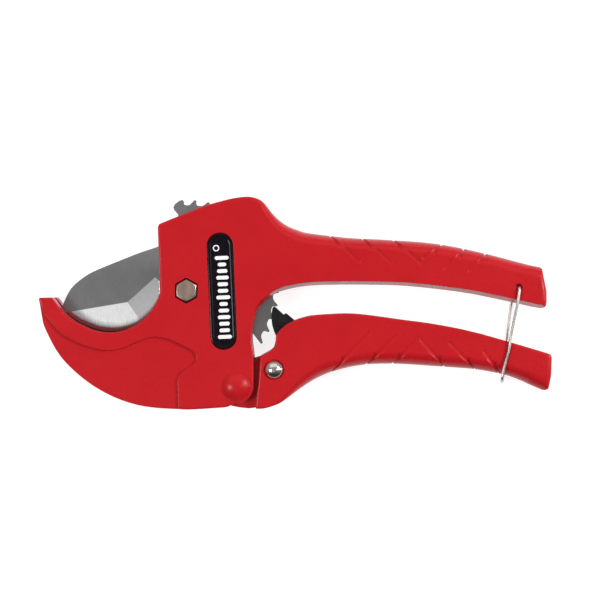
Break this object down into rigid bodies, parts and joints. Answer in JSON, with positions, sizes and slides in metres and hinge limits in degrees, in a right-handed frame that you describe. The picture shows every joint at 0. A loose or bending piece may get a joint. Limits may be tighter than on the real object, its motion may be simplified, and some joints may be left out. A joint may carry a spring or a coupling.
{
  "type": "pipe cutter",
  "caption": "Ratcheting hand cutter for plastic pipe: hooked jaw, pivoting toothed blade, pawl-driven lower handle and a wire bail that latches the handles shut.",
  "frame": {"origin": "middle of the bounding rectangle of the back face, on that face", "axes": "+X from the jaw towards the handle ends, +Y from the moving handle towards the fixed handle, +Z out of the front face, along all pivots"},
  "size_m": [0.2068, 0.0858, 0.0225],
  "materials": {
    "red_paint": "semi-gloss enamel on die casting",
    "blade_steel": "satin, ground bevels",
    "shim_steel": "plain",
    "zinc_plate": "dull zinc plate",
    "bush_bronze": "plain sintered",
    "spring_steel": "oiled",
    "nylon_blue": "matte",
    "pawl_black": "black oxide",
    "nickel_plate": "bright nickel",
    "label_black": "gloss"
  },
  "bodies": {
    "body": {"body_casting": "red_paint", "blade_bolt": "zinc_plate", "blade_bushing": "bush_bronze", "blade_shim_front": "shim_steel", "blade_shim_back": "shim_steel", "blade_nut_washer": "zinc_plate", "blade_disc_spring": "spring_steel", "blade_nut": "zinc_plate", "blade_nut_insert": "nylon_blue", "handle_pivot_pin": "red_paint", "handle_pin_washer": "zinc_plate", "handle_pivot_bushing": "bush_bronze", "return_spring": "spring_steel", "label_plate": "label_black"},
    "blade": {"blade": "blade_steel"},
    "handle": {"movable_handle": "red_paint", "pawl_pin": "nickel_plate", "pawl_pin_washer": "zinc_plate", "pawl_bushing": "bush_bronze", "pawl_spring": "spring_steel"},
    "pawl": {"pawl": "pawl_black", "pawl_nose_pin": "shim_steel"},
    "bail": {"lock_bail": "nickel_plate"}
  },
  "joints": [
    {"name": "blade_pivot", "type": "hinge", "parent": "body", "child": "blade", "pos_m": [-0.04405, 0.00496, 0.01], "axis": [0, 0, 1], "range_deg": [-68.24, 0]},
    {"name": "handle_pivot", "type": "hinge", "parent": "body", "child": "handle", "pos_m": [-0.02385, -0.03354, 0.01], "axis": [0, 0, 1], "range_deg": [-30, 0], "deforming": ["return_spring"]},
    {"name": "pawl_pivot", "type": "hinge", "parent": "handle", "child": "pawl", "pos_m": [-0.00875, -0.02684, 0.01], "axis": [0, 0, 1], "range_deg": [0, 43], "deforming": ["pawl_spring"]},
    {"name": "bail_pivot", "type": "hinge", "parent": "body", "child": "bail", "pos_m": [0.09005, 0.00646, 0.01], "axis": [0, 0, 1], "range_deg": [0, 213]}
  ],
  "couplings": [
    {"joint": "pawl_pivot", "follows": "handle_pivot", "ratio": -1.42},
    {"joint": "bail_pivot", "follows": "handle_pivot", "ratio": -7.1}
  ]
}
